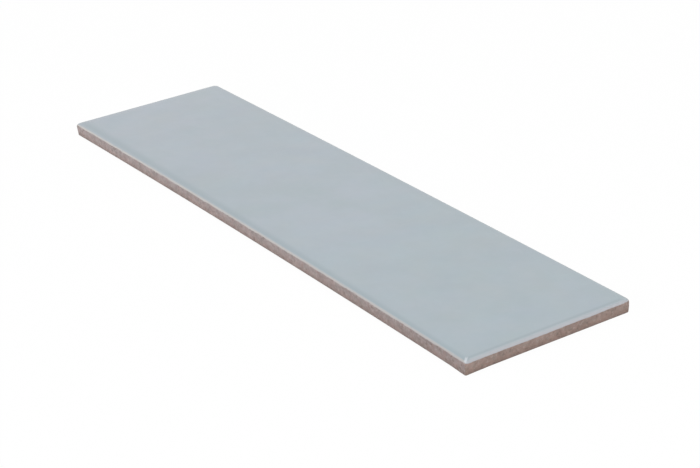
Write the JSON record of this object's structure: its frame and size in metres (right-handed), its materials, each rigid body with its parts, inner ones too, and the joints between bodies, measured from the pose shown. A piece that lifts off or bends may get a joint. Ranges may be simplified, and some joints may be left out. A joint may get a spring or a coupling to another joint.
{
  "type": "wall tile",
  "caption": "Long rectangular glazed ceramic wall tile with a soft-edged blue-grey face, bare fired-clay sides and a grooved back that keys into adhesive.",
  "frame": {"origin": "under the middle of the tile, on the plane of the two flat lands of the back that it stands on", "axes": "+X along the length, +Y across the width, +Z out of the glazed face"},
  "size_m": [0.4, 0.1, 0.0083],
  "materials": {
    "glazed_tile": "soft-gloss blue-grey glaze on the face and its rolled edges, bare pinkish brown fired body on the sides and the back"
  },
  "bodies": {
    "root": {"tile": "glazed_tile"}
  },
  "joints": []
}
